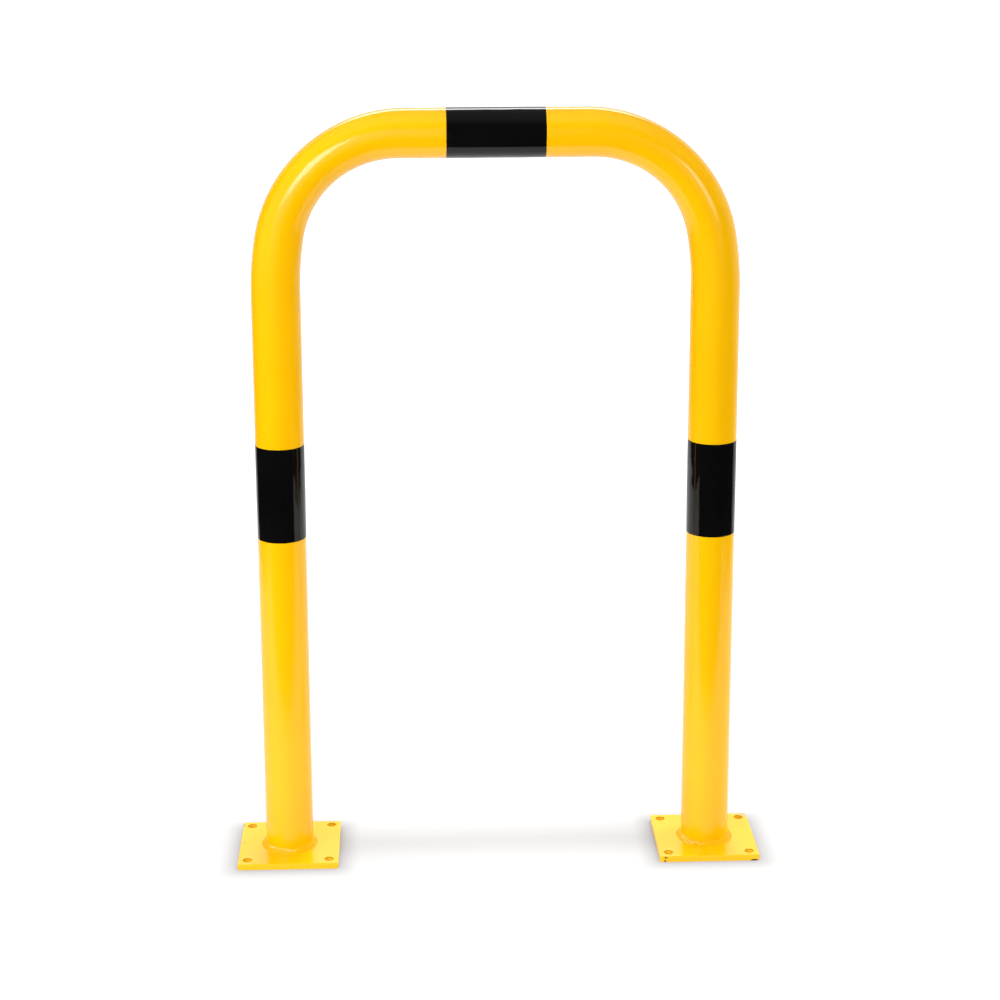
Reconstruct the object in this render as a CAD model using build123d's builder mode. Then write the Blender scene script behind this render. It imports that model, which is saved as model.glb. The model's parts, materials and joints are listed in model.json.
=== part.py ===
from build123d import *
from math import radians, sin
import os

# A bolt-down hoop guard of bent steel tube with two base plates and three black film bands.
# Millimetres. +X runs along the hoop, +Z is up, and the origin is on the ground,
# midway between the two legs. All of it stands on the plane Z = 0.

# Hoop
overall_width = 750          # outside of one leg to outside of the other
overall_height = 1200        # ground to the top of the hoop
tube_diameter = 76
tube_wall = 3
bend_radius = 190            # centreline radius of the two corner bends
lead_in_radius = 480         # softer stretch where the leg runs into the bend
lead_in_angle = 10           # degrees of the corner that the softer stretch turns

# Base plates
plate_side = 160
plate_thickness = 10
plate_corner_radius = 3
plate_edge_radius = 0.8      # rolled-off top edge under the paint
anchor_edge_distance = 15    # anchor hole centre to the plate's edge, both ways
anchor_hole_diameter = 14    # clears an M12 anchor
anchor_hole_chamfer = 0.6

# Weld between leg and plate
weld_leg = 7                 # height and width of the fillet weld
weld_crown = 0.8             # how far its face stands out of the straight line

# Self-adhesive film bands
band_length = 150            # along the tube
film_thickness = 0.3
film_overlap_angle = 30      # degrees where the film's two ends lie over each other
leg_band_top = 680           # ground to the upper edge of each leg's band

# Worked out from the above
tube_radius = tube_diameter / 2
leg_offset = overall_width / 2 - tube_radius
anchor_spacing = plate_side - 2 * anchor_edge_distance
top_height = overall_height - tube_radius
corner_angle = 90 - lead_in_angle
corner_rise = (lead_in_radius - bend_radius) * sin(radians(lead_in_angle)) + bend_radius
bend_start = top_height - corner_rise
sides = {"left": -1, "right": 1}

os.makedirs("parts", exist_ok=True)


def finish(piece, name):
    """Labels a finished piece and writes it under its name."""
    piece.part.label = name
    export_step(piece.part, f"parts/{name}.step")


def make_hoop():
    """One steel tube bent twice, open at both feet where the plates close it."""
    with BuildPart() as hoop:
        with BuildLine(Plane.XZ):
            leg = Line((-leg_offset, plate_thickness), (-leg_offset, bend_start))
            lead_in = JernArc(leg @ 1, leg % 1, lead_in_radius, -lead_in_angle)
            corner = JernArc(lead_in @ 1, lead_in % 1, bend_radius, -corner_angle)
            mirror(about=Plane.YZ)
            Line(corner @ 1, (-(corner @ 1).X, top_height))
        with BuildSketch(Plane.XY.offset(plate_thickness)):
            with Locations((-leg_offset, 0)):
                Circle(tube_radius)
                Circle(tube_radius - tube_wall, mode=Mode.SUBTRACT)
        sweep()
    return hoop


def make_base_plate(leg_x):
    """A square foot with four anchor holes, centred under one leg."""
    with BuildPart() as plate:
        with BuildSketch():
            with Locations((leg_x, 0)):
                RectangleRounded(plate_side, plate_side, plate_corner_radius)
        extrude(amount=plate_thickness)
        fillet(plate.edges().group_by(Axis.Z)[-1], plate_edge_radius)
        with Locations((leg_x, 0, plate_thickness)):
            with GridLocations(anchor_spacing, anchor_spacing, 2, 2):
                Hole(anchor_hole_diameter / 2)
        hole_rims = plate.edges().filter_by(GeomType.CIRCLE).group_by(Axis.Z)[-1]
        chamfer(hole_rims, anchor_hole_chamfer)
    return plate


def make_weld_bead(leg_x):
    """The fillet weld that runs round a leg where it stands on its plate."""
    with BuildPart() as bead:
        with BuildSketch(Plane((leg_x, 0, plate_thickness), x_dir=(1, 0, 0), z_dir=(0, -1, 0))):
            with BuildLine():
                foot = Line((tube_radius, 0), (tube_radius + weld_leg, 0))
                face = SagittaArc(foot @ 1, (tube_radius, weld_leg), -weld_crown)
                Line(face @ 1, foot @ 0)
            make_face()
        revolve(axis=Axis((leg_x, 0, 0), (0, 0, 1)))
    return bead


def make_film_band(centre, along, seam):
    """A strip of film wrapped once round the tube, its ends overlapping from the seam direction."""
    along, seam = Vector(along), Vector(seam).normalized()
    section = Plane(centre, x_dir=seam, z_dir=seam.cross(along))
    axis = Axis(centre, along)
    with BuildPart() as band:
        with BuildSketch(section):
            with Locations((tube_radius + film_thickness / 2, 0)):
                Rectangle(film_thickness, band_length)
        revolve(axis=axis)
        with BuildSketch(section):
            with Locations((tube_radius + film_thickness * 3 / 2, 0)):
                Rectangle(film_thickness, band_length)
        revolve(axis=axis, revolution_arc=film_overlap_angle)
    return band


finish(make_hoop(), "hoop_tube")
for side, sign in sides.items():
    leg_x = sign * leg_offset
    finish(make_base_plate(leg_x), f"{side}_base_plate")
    finish(make_weld_bead(leg_x), f"{side}_weld_bead")
    band_centre = (leg_x, 0, leg_band_top - band_length / 2)
    finish(make_film_band(band_centre, (0, 0, 1), (0.3 * sign, 1, 0)), f"{side}_band")
finish(make_film_band((0, 0, top_height), (1, 0, 0), (0, 1, -0.4)), "top_band")
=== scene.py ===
import json
import math
import bpy
from mathutils import Matrix, Vector, noise

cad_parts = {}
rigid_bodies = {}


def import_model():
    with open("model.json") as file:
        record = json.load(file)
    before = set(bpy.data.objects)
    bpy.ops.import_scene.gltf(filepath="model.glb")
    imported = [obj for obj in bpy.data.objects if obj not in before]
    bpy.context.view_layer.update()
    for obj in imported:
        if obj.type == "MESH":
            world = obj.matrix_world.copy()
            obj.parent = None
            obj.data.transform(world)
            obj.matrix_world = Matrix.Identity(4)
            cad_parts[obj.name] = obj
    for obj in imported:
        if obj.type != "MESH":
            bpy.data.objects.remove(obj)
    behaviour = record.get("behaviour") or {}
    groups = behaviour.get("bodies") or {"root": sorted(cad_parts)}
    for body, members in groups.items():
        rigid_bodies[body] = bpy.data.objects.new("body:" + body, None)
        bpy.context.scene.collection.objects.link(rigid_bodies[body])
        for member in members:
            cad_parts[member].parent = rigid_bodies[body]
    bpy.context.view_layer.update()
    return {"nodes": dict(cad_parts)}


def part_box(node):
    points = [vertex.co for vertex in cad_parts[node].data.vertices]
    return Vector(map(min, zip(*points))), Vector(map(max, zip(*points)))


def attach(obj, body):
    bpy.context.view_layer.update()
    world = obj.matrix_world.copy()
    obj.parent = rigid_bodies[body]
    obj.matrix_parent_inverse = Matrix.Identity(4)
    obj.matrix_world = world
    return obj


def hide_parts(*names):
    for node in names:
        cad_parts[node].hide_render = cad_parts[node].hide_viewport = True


# A bolt-down hoop guard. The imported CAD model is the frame: the tube, the welds and the film bands
# are modelled again here as fine meshes, and the CAD plates get a painted material.
# Metres, +Z up, with the camera on the -Y side.

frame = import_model()
scene = bpy.context.scene

# Sizes read from the frame
hoop_low, hoop_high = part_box("hoop_tube")
plate_low, plate_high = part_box("left_base_plate")
TUBE_RADIUS = (hoop_high.y - hoop_low.y) / 2
LEG_X = hoop_high.x - TUBE_RADIUS
TOP_Z = hoop_high.z - TUBE_RADIUS
PLATE_TOP = plate_high.z
PLATE_SIDE = plate_high.x - plate_low.x

# Hoop
BEND_RADIUS = 0.190
LEAD_IN_RADIUS = 0.480               # the softer start of each bend
LEAD_IN_ANGLE = math.radians(10)
TUBE_WALL = 0.003
BEND_FLATTENING = 0.0026             # how much the section narrows on each side in mid-bend
RING_POINTS = 128
RING_SPACING = 0.008

# Film
FILM_THICKNESS = 0.0003
FILM_OVERLAP = math.radians(30)
FILM_CLIMB = math.radians(4)         # the turn over which the lapped end steps onto the start
FILM_WAVE = 0.00016                  # height of the faint wave in the film
FILM_WAVES_ROUND = 2.2
FILM_WAVES_ALONG = 5.5
FILM_STEPS = 240                     # round the tube
FILM_ROWS = 64                       # along the tube
FILM_EDGE_ANGLE = math.radians(40)   # edges sharper than this stay sharp
LEG_SEAM_LEAN = 0.3                  # the seams are at the back: the legs' a little outwards,
TOP_SEAM_DROP = 0.4                  # and the top's a little downwards
LEG_FILM_SEED = 5.0
TOP_FILM_SEED = 1.0

# Weld. The width and the tallness are shares of the CAD bead's leg; a wave is (how much, how fine)
WELD_WIDTH = 1.15
WELD_WIDTH_WAVE = (0.24, 2.3)
WELD_WIDTH_WOBBLE = (0.08, 6.1)
WELD_TALLNESS = 1.05
WELD_TALLNESS_WAVE = (0.22, 2.9)
WELD_TALLNESS_SHIFT = Vector((7, 1, 3))
WELD_HOLLOW = 1.18                   # above 1, the bead runs out into the tube and the plate
WELD_CROWN = 0.0009                  # how far the middle of the face stands out
WELD_LUMPS = (0.0007, 9.0)
WELD_LUMPS_ACROSS = 3.0
WELD_RIPPLE_PITCH = 0.0042
WELD_RIPPLE_HEIGHT = 0.00065
WELD_RIPPLE_SPREAD = 0.7             # below 1, the ripples reach further towards the bead's edges
WELD_RIPPLE_BOW = 0.0022             # how far a ripple's middle is out of line with its ends
WELD_PITCH_WAVE = (0.0006, 6.0)
WELD_SUNK = 0.0004                   # how far the bead's edges go into the tube and the plate
WELD_STEPS = 420                     # round the leg
WELD_POINTS = 18                     # across the face
WELD_SEED = 3.0
DIAGONAL = 0.7                       # share of a slanting move that goes along each axis

# Paint and film colours
YELLOW = (0.90, 0.475, 0.0012, 1)
YELLOW_THIN = (0.885, 0.455, 0.0010, 1)
WELD_SHADE_DARKER = (0.84, 0.37, 0.0009, 1)       # painted shade: the welds are darker than the tube, for the shade at its foot
WELD_SHADE_LIGHTER = (0.86, 0.41, 0.0009, 1)        # painted shade on the welds, a little lighter; the two drift at random
HOLE_WALL_PAINTED_LIGHT = (0.95, 0.58, 0.0100, 1)     # painted light: the amber that bounced light gives the shaded walls of holes
HOLE_RIM_PAINTED_SHADE = (0.19, 0.08, 0.003, 1)         # painted shade: a dark ring round the top of each hole
YELLOW_NIB = (0.60, 0.30, 0.02, 1)          # a grain of dust under the paint
BARE_DARK = (0.035, 0.018, 0.008, 1)        # rust-dark steel under a chip
BARE_GREY = (0.39, 0.36, 0.17, 1)           # steel showing through at a corner
WORN = (0.45, 0.33, 0.001, 1)               # dulled, dirty paint
BLACK = (0.0018, 0.0018, 0.0020, 1)
BLACK_DULL = (0.0028, 0.0028, 0.0031, 1)
BLACK_RUBBED = (0.05, 0.05, 0.05, 1)

# Paint surface. Each noise is (features per metre, detail)
PAINT_DRIFT = (9.0, 3.0)
PAINT_GLOSS_DRIFT = (35.0, 3.0)
PAINT_GLOSS = (0.15, 0.19)           # least and most roughness
PAINT_SHINE = 0.5
PAINT_IOR = 1.45
PAINT_PEEL = (420.0, 2.0)
PAINT_PEEL_HEIGHT = 0.00002
NIBS = (230.0, 1.0)
NIB_LIMITS = (0.80, 0.86)            # the noise values where a nib starts and is full
NIB_OFFSET = (3.1, 7.7, 1.3)         # keeps the nibs apart from the other noise
NIB_TINT = 0.35
NIB_HEIGHT = 1.5                     # in orange peel heights
WEAR_DEPTH = 6.0                     # in orange peel heights
WEAR_ROUGHNESS = 0.10
WEAR_RAGGEDNESS = (700.0, 3.0)
WELD_GLOSS = (0.12, 0.16)
WELD_SHINE = 0.22

# Film surface
FILM_DRIFT = (14.0, 3.0)
FILM_GLOSS_DRIFT = (60.0, 4.0)
FILM_GLOSS_LIMITS = (0.35, 0.75)
FILM_GLOSS = (0.06, 0.11)            # least and most roughness
FILM_IOR = 1.4
FILM_RIPPLE = (110.0, 2.0)
FILM_RIPPLE_HEIGHT = 0.00003
SCUFFS = (520.0, 4.0, 0.7)           # with the noise's own roughness
SCUFF_LIMITS = (0.70, 0.82)
SCUFF_ROUGHNESS = 0.12
RUB_ROUGHNESS = 0.3
RUB_PLACE = (LEG_X - 0.0370, -0.0080, 0.6370)
RUB_SIZE = (0.0016, 0.0040, 0.0040)

# Anchor holes
HOLE_RADIUS = 0.007
HOLE_OFFSET = 0.065                  # from the plate's centre lines
HOLE_RING = (0.0003, 0.0008)         # the painted light on the walls is full, then gone, this far outside the hole
HOLE_RIM = (0.0016, 0.0007)          # the painted rim shade starts, and is full, this far under the top
# how strong the painted shade on the hole rims is
HOLE_RIM_SHADE_STRENGTH = 0.95

# Wear on the plates: (side, centre from the middle of that plate's underside, half-extent, colour)
PLATE_FRONT = -PLATE_SIDE / 2
PLATE_WEAR = [
    (1, (-0.0705, PLATE_FRONT, 0.0075), (0.0022, 0.0020, 0.0016), BARE_DARK),
    (1, (-0.0720, PLATE_FRONT, 0.0020), (0.0018, 0.0020, 0.0016), BARE_DARK),
    (1, (0.0715, PLATE_FRONT, 0.0006), (0.0062, 0.0020, 0.0019), BARE_DARK),
    (-1, (-0.0798, 0.0690, 0.0095), (0.0018, 0.0045, 0.0030), BARE_DARK),
    (1, (0.0770, 0.0770, 0.0095), (0.0075, 0.0090, 0.0060), BARE_GREY),
    (-1, (-0.0740, 0.0020, PLATE_TOP), (0.0020, 0.0034, 0.0020), WORN),
    (-1, (-0.0500, 0.0450, PLATE_TOP), (0.0022, 0.0040, 0.0020), WORN),
]

# Floor
FLOOR_HALF_WIDTH = 1.7
FLOOR_BACK = 1.8
FLOOR_FRONT = -0.61                  # at the middle
FLOOR_FRONT_CURVE = 0.12             # the front edge curves towards the camera at the sides
FLOOR_COLUMNS, FLOOR_ROWS = 28, 27
FLOOR_DRIFT = (3.0, 2.0)
FLOOR_TONES = ((0.247, 0.247, 0.247, 1), (0.253, 0.253, 0.253, 1))
FLOOR_ROUGHNESS = 0.9
FLOOR_FADE = (0.55, 0.95)            # it fades out between these distances
FLOOR_FADE_STRETCH = (1.0, 1.7, 0.0)
# Painted contact shadow: the floor is darkened towards this colour next to the plates
PAINTED_SHADOW_COLOUR = (0, 0.01, 0.03, 1)
CONTACT_SHADE = 0.19                 # how much of the painted shadow's colour is mixed in right beside a plate
CONTACT_REACH = (0.002, 0.036)       # the shade is full up to the first distance, gone at the second

# The mirrored room, by direction: sideways is x over y, and height is z over y
WHITE_BACKGROUND = 1.3
ROOM = 0.02
BACKDROP = 1.0
BACKDROP_LEFT = (-1.25, -0.7)
BACKDROP_RIGHT = (1.2, 3.0)
BACKDROP_TOP = (0.92, 1.08)
STRIP = 9.0                          # the bright upper part of the backdrop
STRIP_BOTTOM = (0.56, 0.76)
STRIP_SIDES = (0.25, 0.65)
CEILING = 0.28
CEILING_FRONT = (-0.85, -0.25)       # along y, of a unit direction
CEILING_BOTTOM = (0.3, 0.6)          # along z, of a unit direction
CEILING_BACK = (1.3, 1.6)
NEAREST_DEPTH = 0.001

# Camera
CAMERA_PLACE = (-0.1308, -3.5177, 1.6335)
CAMERA_YAW = 0.0387                  # radians to the right of +Y
CAMERA_PITCH = 0.2512                # radians down
CAMERA_ROLL = -0.0025
SENSOR_WIDTH = 36                    # millimetres, as the lens
LENS = 84.27
LENS_SHIFT = -0.09
CLIP_START, CLIP_END = 0.05, 50


# ---------------------------------------------------------------- mesh helpers

def add_mesh(name, points, faces, material):
    """A smooth-shaded piece that rides on the hoop."""
    mesh = bpy.data.meshes.new(name)
    mesh.from_pydata(points, [], faces)
    mesh.validate()
    mesh.polygons.foreach_set("use_smooth", [True] * len(mesh.polygons))
    mesh.materials.append(material)
    piece = bpy.data.objects.new(name, mesh)
    scene.collection.objects.link(piece)
    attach(piece, "root")
    return piece


def grid_faces(rows, columns, close_rows=False, close_columns=False):
    """Quads over rows x columns points, row by row."""
    faces = []
    for i in range(rows if close_rows else rows - 1):
        this_row, next_row = i * columns, (i + 1) % rows * columns
        for j in range(columns if close_columns else columns - 1):
            k = (j + 1) % columns
            faces.append((this_row + j, this_row + k, next_row + k, next_row + j))
    return faces


def both_skins(faces, skin):
    """The faces of an outer skin, and the same on the inner skin, whose points follow it."""
    return faces + [tuple(skin + i for i in reversed(face)) for face in faces]


def edge_faces(line, skin, closed=False):
    """Quads that join a line of points on the outer skin to the same line on the inner one."""
    line = list(line)
    following = line[1:] + (line[:1] if closed else [])
    return [(a, skin + a, skin + b, b) for a, b in zip(line, following)]


def uneven(wave, spot, shift=Vector((0, 0, 0))):
    """Smooth noise at a spot; a wave is (how much, how fine)."""
    amount, scale = wave
    return amount * noise.noise(spot * scale + shift)


# ---------------------------------------------------------------- node helpers

class Nodes:
    """Short calls for building a node tree."""

    def __init__(self, tree):
        self.tree = tree

    def add(self, kind, **settings):
        node = self.tree.nodes.new(kind)
        for key, value in settings.items():
            setattr(node, key, value)
        return node

    def link(self, source, target):
        self.tree.links.new(source, target)

    def feed(self, value, socket):
        """Sets a socket to a value, or links it to an output."""
        if isinstance(value, bpy.types.NodeSocket):
            self.link(value, socket)
        else:
            socket.default_value = value

    def math(self, operation, a, b=0.0):
        node = self.add("ShaderNodeMath", operation=operation)
        self.feed(a, node.inputs[0])
        self.feed(b, node.inputs[1])
        return node.outputs[0]

    def vector(self, operation, a, b):
        node = self.add("ShaderNodeVectorMath", operation=operation)
        self.feed(a, node.inputs[0])
        self.feed(b, node.inputs[1])
        return node.outputs["Vector"]

    def length(self, vector):
        node = self.add("ShaderNodeVectorMath", operation="LENGTH")
        self.link(vector, node.inputs[0])
        return node.outputs["Value"]

    def diagonal(self, a, b):
        """The length of a slanting line from its two sides."""
        squares = [self.math("MULTIPLY", side, side) for side in (a, b)]
        return self.math("SQRT", self.math("ADD", *squares))

    def split(self, vector):
        """The x, y and z of a vector."""
        node = self.add("ShaderNodeSeparateXYZ")
        self.link(vector, node.inputs[0])
        return tuple(node.outputs)

    def span(self, value, low, high, to_low=0.0, to_high=1.0, smooth=False):
        """Maps low..high to to_low..to_high, clamped."""
        node = self.add("ShaderNodeMapRange")
        if smooth:
            node.interpolation_type = "SMOOTHSTEP"
        self.feed(value, node.inputs["Value"])
        limits = {"From Min": low, "From Max": high, "To Min": to_low, "To Max": to_high}
        for socket, number in limits.items():
            node.inputs[socket].default_value = number
        return node.outputs["Result"]


class Surface(Nodes):
    """A material's node tree, with places in metres."""

    def __init__(self, name):
        self.material = bpy.data.materials.new(name)
        self.material.use_nodes = True
        super().__init__(self.material.node_tree)
        self.shader = self.tree.nodes["Principled BSDF"]
        self.place = self.add("ShaderNodeTexCoord").outputs["Object"]

    def noise(self, scale, detail, roughness=0.5, offset=None):
        """Noise of a size given in features per metre."""
        node = self.add("ShaderNodeTexNoise")
        place = self.vector("ADD", self.place, offset) if offset else self.place
        self.link(place, node.inputs["Vector"])
        node.inputs["Scale"].default_value = scale
        node.inputs["Detail"].default_value = detail
        node.inputs["Roughness"].default_value = roughness
        return node.outputs["Fac"]

    def cloud(self, scale, detail, to_low=0.0, to_high=1.0):
        """Soft noise that uses the whole range from to_low to to_high."""
        return self.span(self.noise(scale, detail), 0.3, 0.7, to_low, to_high)

    def mix(self, share, a, b):
        """A colour between a and b."""
        node = self.add("ShaderNodeMix", data_type="RGBA")
        self.feed(share, node.inputs["Factor"])
        self.feed(a, node.inputs[6])
        self.feed(b, node.inputs[7])
        return node.outputs[2]

    def spot(self, centre, size):
        """A ragged patch, 1 at its centre and 0 outside; size is its half-extent along x, y, z."""
        away = self.vector("DIVIDE", self.vector("SUBTRACT", self.place, centre), size)
        ragged = self.math("ADD", self.length(away), self.cloud(*WEAR_RAGGEDNESS, -0.5, 0.5))
        return self.span(ragged, 0.8, 1.1, 1.0, 0.0)

    def most(self, masks):
        """The largest of several masks."""
        result = masks[0]
        for mask in masks[1:]:
            result = self.math("MAXIMUM", result, mask)
        return result

    def from_plate_centre(self):
        """How far a place is from the nearer plate's centre lines along x and y, and its z."""
        x, y, z = self.split(self.place)
        across = self.math("SUBTRACT", self.math("ABSOLUTE", x), LEG_X)
        return self.math("ABSOLUTE", across), self.math("ABSOLUTE", y), z

    def finish(self, colour, rough, height, distance, ior):
        """Feeds the shader; a height of 1 stands out by the distance."""
        bump = self.add("ShaderNodeBump")
        self.link(height, bump.inputs["Height"])
        bump.inputs["Distance"].default_value = distance
        bump.inputs["Strength"].default_value = 1.0
        self.shader.inputs["IOR"].default_value = ior
        self.link(colour, self.shader.inputs["Base Color"])
        self.link(rough, self.shader.inputs["Roughness"])
        self.link(bump.outputs["Normal"], self.shader.inputs["Normal"])
        return self.material


# ---------------------------------------------------------------- materials

def hole_masks(coat):
    """Two masks over the eight anchor holes: painted light on their walls, and painted shade on their
    rims.
    """
    across, along, z = coat.from_plate_centre()
    away = coat.diagonal(coat.math("SUBTRACT", across, HOLE_OFFSET),
                         coat.math("SUBTRACT", along, HOLE_OFFSET))
    wall = coat.span(away, HOLE_RADIUS + HOLE_RING[0], HOLE_RADIUS + HOLE_RING[1], 1.0, 0.0)
    lip = coat.span(z, PLATE_TOP - HOLE_RIM[0], PLATE_TOP - HOLE_RIM[1])
    return wall, coat.math("MULTIPLY", coat.math("MULTIPLY", wall, lip), HOLE_RIM_SHADE_STRENGTH)


def yellow_paint(name, tones=(YELLOW, YELLOW_THIN), gloss=PAINT_GLOSS, shine=PAINT_SHINE, wear=(),
                 holes=False):
    """Glossy powder coat: faint colour drift, orange peel, nibs, uneven gloss, any wear, and painted
    light and shade in holes.
    """
    coat = Surface(name)
    colour = coat.mix(coat.cloud(*PAINT_DRIFT), *tones)
    rough = coat.cloud(*PAINT_GLOSS_DRIFT, *gloss)
    nibs = coat.span(coat.noise(*NIBS, offset=NIB_OFFSET), *NIB_LIMITS)
    colour = coat.mix(coat.math("MULTIPLY", nibs, NIB_TINT), colour, YELLOW_NIB)
    height = coat.math("ADD", coat.noise(*PAINT_PEEL), coat.math("MULTIPLY", nibs, NIB_HEIGHT))
    if holes:
        # Painted light on the hole walls, and painted shade on a ring round their tops
        wall, rim_shade = hole_masks(coat)
        colour = coat.mix(rim_shade, coat.mix(wall, colour, HOLE_WALL_PAINTED_LIGHT), HOLE_RIM_PAINTED_SHADE)
    if wear:
        patches = []
        for side, (x, y, z), size, bare in wear:
            patches.append(coat.spot((side * LEG_X + x, y, z), size))
            colour = coat.mix(patches[-1], colour, bare)
        worn = coat.most(patches)
        rough = coat.math("ADD", rough, coat.math("MULTIPLY", worn, WEAR_ROUGHNESS))
        height = coat.math("SUBTRACT", height, coat.math("MULTIPLY", worn, WEAR_DEPTH))
    coat.shader.inputs["Specular IOR Level"].default_value = shine
    return coat.finish(colour, rough, height, PAINT_PEEL_HEIGHT, PAINT_IOR)


def black_film():
    """Glossy black vinyl: faint rolled-on ripple, fine scuffs, and one rubbed spot on an edge."""
    vinyl = Surface("black_film")
    colour = vinyl.mix(vinyl.cloud(*FILM_DRIFT), BLACK, BLACK_DULL)
    rough = vinyl.span(vinyl.noise(*FILM_GLOSS_DRIFT), *FILM_GLOSS_LIMITS, *FILM_GLOSS)
    scuffs = vinyl.span(vinyl.noise(*SCUFFS), *SCUFF_LIMITS)
    rough = vinyl.math("ADD", rough, vinyl.math("MULTIPLY", scuffs, SCUFF_ROUGHNESS))
    rubbed = vinyl.spot(RUB_PLACE, RUB_SIZE)
    colour = vinyl.mix(rubbed, colour, BLACK_RUBBED)
    rough = vinyl.math("ADD", rough, vinyl.math("MULTIPLY", rubbed, RUB_ROUGHNESS))
    return vinyl.finish(colour, rough, vinyl.noise(*FILM_RIPPLE), FILM_RIPPLE_HEIGHT, FILM_IOR)


def beside_plates(matt):
    """How far a place on the floor is from the nearer plate."""
    across, along, z = matt.from_plate_centre()
    outside = [matt.math("MAXIMUM", matt.math("SUBTRACT", distance, PLATE_SIDE / 2), 0.0)
               for distance in (across, along)]
    return matt.diagonal(*outside)


def floor_white():
    """Matt white with painted contact shadows; to the camera it fades into the white background away
    from the object.
    """
    matt = Surface("floor_white")
    tone = matt.mix(matt.noise(*FLOOR_DRIFT), *FLOOR_TONES)
    # Painted shadow, darkest right beside the plates
    shade = matt.span(beside_plates(matt), *CONTACT_REACH, CONTACT_SHADE, 0.0, smooth=True)
    matt.link(matt.mix(shade, tone, PAINTED_SHADOW_COLOUR), matt.shader.inputs["Base Color"])
    matt.shader.inputs["Roughness"].default_value = FLOOR_ROUGHNESS
    matt.shader.inputs["Specular IOR Level"].default_value = 0.0
    away = matt.length(matt.vector("MULTIPLY", matt.place, FLOOR_FADE_STRETCH))
    fade = matt.span(away, *FLOOR_FADE, smooth=True)
    to_camera = matt.add("ShaderNodeLightPath").outputs["Is Camera Ray"]
    clear = matt.add("ShaderNodeBsdfTransparent")
    blend = matt.add("ShaderNodeMixShader")
    matt.link(matt.math("MULTIPLY", fade, to_camera), blend.inputs[0])
    matt.link(matt.shader.outputs[0], blend.inputs[1])
    matt.link(clear.outputs[0], blend.inputs[2])
    matt.link(blend.outputs[0], matt.tree.nodes["Material Output"].inputs["Surface"])
    return matt.material


# ---------------------------------------------------------------- hoop tube

def hoop_stations():
    """Centre points along the hoop from the left foot to the right, as (x, z, heading).

    The heading turns from 0, up the left leg, to a half turn, down the right one.
    """
    bends = [(LEAD_IN_RADIUS, 0.0, LEAD_IN_ANGLE), (BEND_RADIUS, LEAD_IN_ANGLE, math.pi / 2)]
    bend_z = TOP_Z - sum(radius * (math.sin(end) - math.sin(start)) for radius, start, end in bends)
    leg = bend_z - PLATE_TOP
    steps = math.ceil(leg / RING_SPACING)
    half = [(-LEG_X, PLATE_TOP + leg * i / steps, 0.0) for i in range(steps)]
    x, z = -LEG_X, bend_z
    for radius, start, end in bends:
        steps = math.ceil(radius * (end - start) / RING_SPACING)
        for i in range(steps):
            here = start + (end - start) * i / steps
            half.append((x + radius * (math.cos(start) - math.cos(here)),
                         z + radius * (math.sin(here) - math.sin(start)), here))
        x += radius * (math.cos(start) - math.cos(end))
        z += radius * (math.sin(end) - math.sin(start))
    steps = math.ceil(-x / RING_SPACING)
    half += [(x * (1 - i / steps), TOP_Z, math.pi / 2) for i in range(steps)]
    middle = [(0.0, TOP_Z, math.pi / 2)]
    return half + middle + [(-px, pz, math.pi - heading) for px, pz, heading in reversed(half)]


def make_tube(material):
    """The bent tube as a closed shell with its real wall, slightly oval in the bends."""
    stations = hoop_stations()
    points = []
    for radius in (TUBE_RADIUS, TUBE_RADIUS - TUBE_WALL):
        for x, z, heading in stations:
            outward = Vector((-math.cos(heading), 0, math.sin(heading)))
            across = radius - BEND_FLATTENING * abs(math.sin(2 * heading))
            for j in range(RING_POINTS):
                turn = 2 * math.pi * j / RING_POINTS
                level = Vector((x, radius * math.sin(turn), z))
                points.append(level + outward * (across * math.cos(turn)))
    skin = len(stations) * RING_POINTS
    faces = both_skins(grid_faces(len(stations), RING_POINTS, close_columns=True), skin)
    faces += edge_faces(range(RING_POINTS), skin, closed=True)
    faces += edge_faces(reversed(range(skin - RING_POINTS, skin)), skin, closed=True)
    tube = add_mesh("painted_tube", points, faces, material)
    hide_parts("hoop_tube")


# ---------------------------------------------------------------- welds

def weld_section(leg, turn, seed):
    """The bead's face at one turn round the leg, from the plate to the tube, as (radius, z)."""
    spot = Vector((math.cos(turn), math.sin(turn), seed))
    wide = leg * (WELD_WIDTH + uneven(WELD_WIDTH_WAVE, spot) + uneven(WELD_WIDTH_WOBBLE, spot))
    tall = leg * (WELD_TALLNESS + uneven(WELD_TALLNESS_WAVE, spot, WELD_TALLNESS_SHIFT))
    travel = turn * (TUBE_RADIUS + leg / 2) + uneven(WELD_PITCH_WAVE, spot)
    section = []
    for j in range(WELD_POINTS):
        share = j / (WELD_POINTS - 1)
        crown = math.sin(math.pi * share)
        phase = (travel + WELD_RIPPLE_BOW * crown) / WELD_RIPPLE_PITCH
        ripple = crown ** WELD_RIPPLE_SPREAD * (0.5 + 0.5 * math.cos(2 * math.pi * phase))
        lumps = crown * uneven(WELD_LUMPS, spot, Vector((share * WELD_LUMPS_ACROSS, 0, 0)))
        swell = DIAGONAL * (WELD_CROWN * crown + WELD_RIPPLE_HEIGHT * ripple + lumps)
        radius = TUBE_RADIUS - WELD_SUNK + (wide + WELD_SUNK) * (1 - share) ** WELD_HOLLOW + swell
        z = PLATE_TOP - WELD_SUNK + (tall + WELD_SUNK) * share ** WELD_HOLLOW + swell
        section.append((radius, z))
    return section


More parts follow.
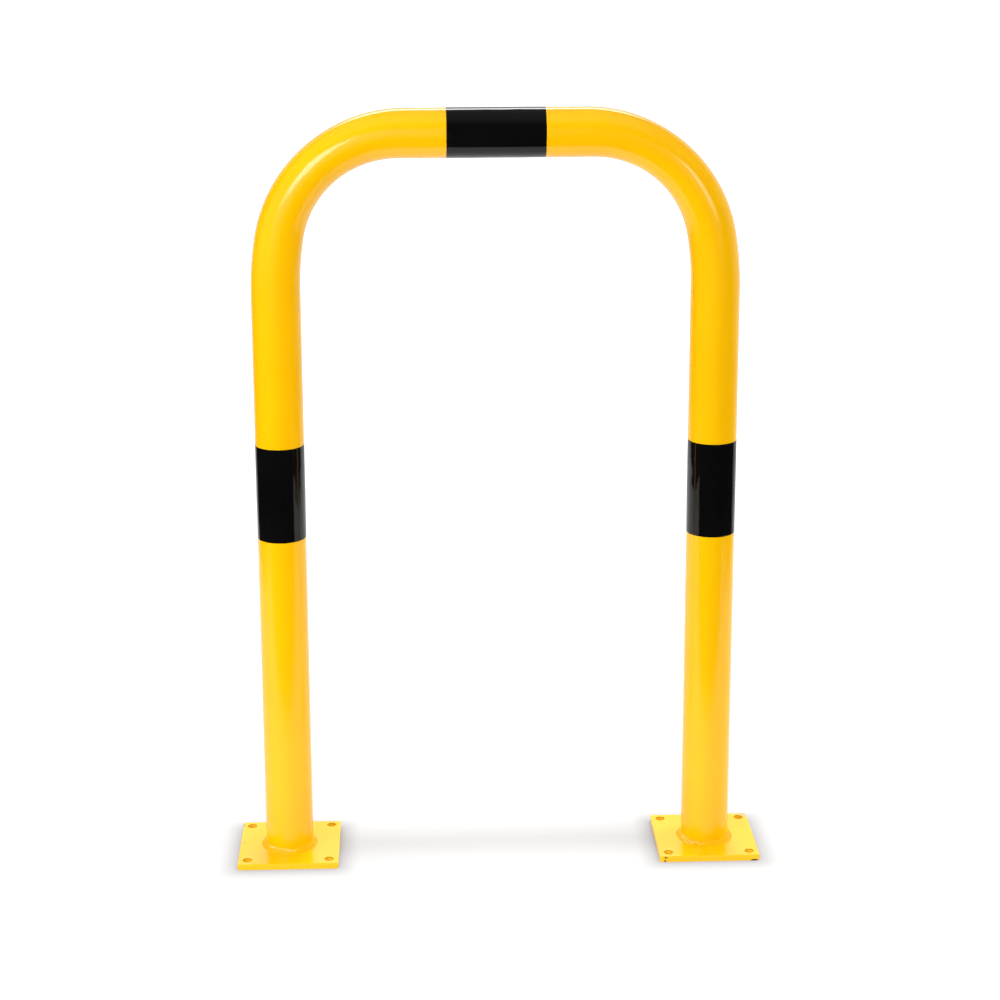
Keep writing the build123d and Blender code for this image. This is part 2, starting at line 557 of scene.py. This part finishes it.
def make_weld(name, node, leg_x, seed, material):
    """A fillet weld laid round the leg, with ripples and an uneven toe."""
    low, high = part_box(node)
    turns = [2 * math.pi * i / WELD_STEPS for i in range(WELD_STEPS)]
    points = []
    for turn in turns:
        for radius, z in weld_section(high.z - low.z, turn, seed):
            points.append((leg_x + radius * math.cos(turn), radius * math.sin(turn), z))
    root = len(points)
    inner = TUBE_RADIUS - 2 * WELD_SUNK
    for turn in turns:
        points.append((leg_x + inner * math.cos(turn), inner * math.sin(turn), PLATE_TOP - WELD_SUNK))
    faces = grid_faces(WELD_STEPS, WELD_POINTS, close_rows=True)
    for i in range(WELD_STEPS):
        k = (i + 1) % WELD_STEPS
        toe, next_toe = i * WELD_POINTS, k * WELD_POINTS
        top, next_top = toe + WELD_POINTS - 1, next_toe + WELD_POINTS - 1
        faces.append((toe, next_toe, root + k, root + i))
        faces.append((root + i, root + k, next_top, top))
    bead = add_mesh(name, points, faces, material)
    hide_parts(node)


# ---------------------------------------------------------------- film bands

def make_band(name, node, centre, along, seam, seed, material):
    """A strip of film wound once round the tube, the last of it lying over its own start."""
    low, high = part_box(node)
    length = abs((high - low).dot(along))
    side = along.cross(seam)
    total = 2 * math.pi + FILM_OVERLAP

    def point(step, row, lift):
        wound = total * step / FILM_STEPS
        share = row / (FILM_ROWS - 1)
        lapped = min(1.0, max(0.0, (wound - 2 * math.pi + FILM_CLIMB) / FILM_CLIMB))
        base = TUBE_RADIUS + FILM_THICKNESS * lapped + lift
        direction = seam * math.cos(wound) + side * math.sin(wound)
        place = centre + along * (length * (share - 0.5))
        spot = direction * FILM_WAVES_ROUND + along * (share * FILM_WAVES_ALONG)
        wave = FILM_WAVE * noise.noise(spot + Vector((seed, 0, 0))) if lift else 0.0
        return place + direction * (base + wave)

    points = [point(step, row, lift) for lift in (FILM_THICKNESS, 0.0)
              for step in range(FILM_STEPS + 1) for row in range(FILM_ROWS)]
    skin = (FILM_STEPS + 1) * FILM_ROWS
    faces = both_skins(grid_faces(FILM_STEPS + 1, FILM_ROWS), skin)
    faces += edge_faces(reversed(range(FILM_ROWS)), skin)
    faces += edge_faces(range(skin - FILM_ROWS, skin), skin)
    faces += edge_faces(range(0, skin, FILM_ROWS), skin)
    faces += edge_faces(reversed(range(FILM_ROWS - 1, skin, FILM_ROWS)), skin)
    band = add_mesh(name, points, faces, material)
    edges = band.modifiers.new("film_edge", "EDGE_SPLIT")
    edges.split_angle = FILM_EDGE_ANGLE
    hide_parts(node)


# ---------------------------------------------------------------- the object

tube_paint = yellow_paint("yellow_paint")
plate_paint = yellow_paint("plate_paint", wear=PLATE_WEAR, holes=True)
# The welds' darker tones are painted shade at the foot of the tube
weld_paint = yellow_paint("weld_paint", (WELD_SHADE_DARKER, WELD_SHADE_LIGHTER), WELD_GLOSS, WELD_SHINE)
film = black_film()

make_tube(tube_paint)
for side, sign in (("left", -1), ("right", 1)):
    make_weld(f"{side}_weld", f"{side}_weld_bead", sign * LEG_X, WELD_SEED + sign, weld_paint)
    band_low, band_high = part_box(f"{side}_band")
    band_centre = Vector((sign * LEG_X, 0, (band_low.z + band_high.z) / 2))
    seam = Vector((LEG_SEAM_LEAN * sign, 1, 0)).normalized()
    make_band(f"{side}_film", f"{side}_band", band_centre, Vector((0, 0, 1)), seam,
              LEG_FILM_SEED * sign, film)
    plate = frame["nodes"][f"{side}_base_plate"]
    plate.data.materials.clear()
    plate.data.materials.append(plate_paint)
top_seam = Vector((0, 1, -TOP_SEAM_DROP)).normalized()
make_band("top_film", "top_band", Vector((0, 0, TOP_Z)), Vector((1, 0, 0)), top_seam,
          TOP_FILM_SEED, film)


# ---------------------------------------------------------------- stage, light, camera

def make_floor():
    """A white table top, wide enough for every view's contact shadows."""
    points = []
    for i in range(FLOOR_ROWS):
        for j in range(FLOOR_COLUMNS):
            x = FLOOR_HALF_WIDTH * (2 * j / (FLOOR_COLUMNS - 1) - 1)
            front = FLOOR_FRONT - FLOOR_FRONT_CURVE * x * x
            points.append((x, front + (FLOOR_BACK - front) * i / (FLOOR_ROWS - 1), 0.0))
    mesh = bpy.data.meshes.new("floor")
    mesh.from_pydata(points, [], grid_faces(FLOOR_ROWS, FLOOR_COLUMNS))
    mesh.materials.append(floor_white())
    floor = bpy.data.objects.new("floor", mesh)
    scene.collection.objects.link(floor)


def make_world():
    """White to the camera; to the object, a dim room with a bright backdrop behind it."""
    world = bpy.data.worlds.new("studio")
    world.use_nodes = True
    world.cycles_visibility.diffuse = False
    world.node_tree.nodes.clear()
    scene.world = world
    room = Nodes(world.node_tree)

    def times(a, b):
        return room.math("MULTIPLY", a, b)

    def rising(value, edge, strength=1.0):
        return room.span(value, *edge, 0.0, strength, smooth=True)

    def falling(value, edge):
        return room.span(value, *edge, 1.0, 0.0, smooth=True)

    x, y, z = room.split(room.add("ShaderNodeTexCoord").outputs["Generated"])
    depth = room.math("MAXIMUM", y, NEAREST_DEPTH)
    sideways = room.math("DIVIDE", x, depth)
    height = room.math("DIVIDE", z, depth)
    strip = times(rising(height, STRIP_BOTTOM, STRIP),
                  falling(room.math("ABSOLUTE", sideways), STRIP_SIDES))
    wall = times(room.math("ADD", strip, BACKDROP), falling(height, BACKDROP_TOP))
    sides = times(rising(sideways, BACKDROP_LEFT), falling(sideways, BACKDROP_RIGHT))
    ceiling = times(rising(y, CEILING_FRONT, CEILING),
                    times(rising(z, CEILING_BOTTOM), rising(height, CEILING_BACK)))
    brightness = room.math("ADD", room.math("ADD", times(sides, wall), ceiling), ROOM)
    mirrored = room.add("ShaderNodeBackground")
    room.link(brightness, mirrored.inputs["Strength"])
    seen = room.add("ShaderNodeBackground")
    seen.inputs["Strength"].default_value = WHITE_BACKGROUND
    seen.inputs["Color"].default_value = (1, 1, 1, 1)
    blend = room.add("ShaderNodeMixShader")
    room.link(room.add("ShaderNodeLightPath").outputs["Is Camera Ray"], blend.inputs["Fac"])
    room.link(mirrored.outputs[0], blend.inputs[1])
    room.link(seen.outputs[0], blend.inputs[2])
    room.link(blend.outputs[0], room.add("ShaderNodeOutputWorld").inputs["Surface"])


def light_group(name, wanted):
    """A collection that a light can be kept to."""
    group = bpy.data.collections.new(name)
    for piece in scene.objects:
        if piece.type == "MESH" and wanted(piece.name):
            group.objects.link(piece)
    return group


def soft_light(name, group, place, target, size, power, mirrored=False, lit=True, blockers=None):
    """An area light for one group. Mirrored lamps show as highlights; lit ones brighten surfaces."""
    data = bpy.data.lights.new(name, "AREA")
    data.shape = "RECTANGLE"
    data.size, data.size_y = size
    data.energy = power
    light = bpy.data.objects.new(name, data)
    light.location = place
    light.rotation_euler = (Vector(target) - Vector(place)).to_track_quat("-Z", "Y").to_euler()
    light.visible_camera = False
    light.visible_glossy = mirrored
    light.visible_diffuse = lit
    scene.collection.objects.link(light)
    light.light_linking.receiver_collection = group
    if blockers:
        light.light_linking.blocker_collection = blockers


def make_lights():
    """Soft studio light, each lamp kept to the pieces it is for, so that the floor isn't tinted."""
    product = light_group("product", lambda name: name != "floor")
    above = light_group("above", lambda name: name != "floor" and "plate" not in name)
    plates = light_group("plates", lambda name: "plate" in name)
    welds = light_group("welds", lambda name: "weld" in name)
    table = light_group("table", lambda name: name == "floor")
    soft_light("ceiling", product, (0, 0.3, 8.0), (0, 0.3, 0), (10, 10), 520)
    soft_light("plate_light", plates, (0, 0.3, 8.0), (0, 0.3, 0), (10, 10), 450)
    soft_light("plate_front", plates, (-0.4, -3.0, 0.35), (0, 0, 0), (1.5, 0.4), 26)
    soft_light("back", product, (0.3, 2.6, 2.0), (0, 0, 0), (2.0, 1.0), 88)
    soft_light("rear", product, (-0.5, 3.0, 0.9), (0, 0, 0.6), (2.5, 1.6), 26)
    soft_light("under", above, (0, 0, -2.5), (0, 0, 1), (3.0, 3.0), 50, blockers=product)
    soft_light("dome", table, (0, 0, 1.0), (0, 0, 0), (14, 14), 2360)
    soft_light("top", table, (0, -0.1, 10.0), (0, -0.1, 0), (0.5, 0.5), 620)
    soft_light("front", product, (-1.35, -2.9, 1.6), (0, 0, 0.6), (3.0, 2.0), 77)
    soft_light("left_side", product, (-3.2, -0.6, 1.4), (0, 0, 0.7), (2.0, 2.0), 31)
    soft_light("right_front", product, (1.6, -2.8, 1.3), (0, 0, 0.6), (1.5, 1.5), 20)
    soft_light("right_side", product, (3.2, 0.9, 1.0), (0, 0, 0.7), (2.0, 2.0), 96)
    soft_light("key", above, (-1.5, -2.4, 1.9), (0, 0, 0.6), (1.1, 1.1), 34, mirrored=True)
    soft_light("fill", above, (2.0, -2.2, 1.6), (0.2, 0, 0.9), (0.7, 1.0), 12, mirrored=True, lit=False)
    soft_light("glint", welds, (-1.7, 0.1, 3.0), (-0.2, 0, 0), (0.9, 0.9), 120, mirrored=True, lit=False)


def make_camera():
    """The viewing place and aim of the picture, with a small vertical lens shift."""
    data = bpy.data.cameras.new("camera")
    camera = bpy.data.objects.new("camera", data)
    scene.collection.objects.link(camera)
    scene.camera = camera
    data.sensor_width = SENSOR_WIDTH
    data.lens = LENS
    data.shift_y = LENS_SHIFT
    data.clip_start, data.clip_end = CLIP_START, CLIP_END
    level = math.cos(CAMERA_PITCH)
    ahead = Vector((math.sin(CAMERA_YAW) * level, math.cos(CAMERA_YAW) * level, -math.sin(CAMERA_PITCH)))
    aim = ahead.to_track_quat("-Z", "Y").to_matrix()
    camera.location = CAMERA_PLACE
    camera.rotation_euler = (Matrix.Rotation(-CAMERA_ROLL, 3, ahead) @ aim).to_euler()


make_floor()
make_world()
make_lights()
make_camera()
scene.view_settings.view_transform = "Standard"
scene.view_settings.look = "None"
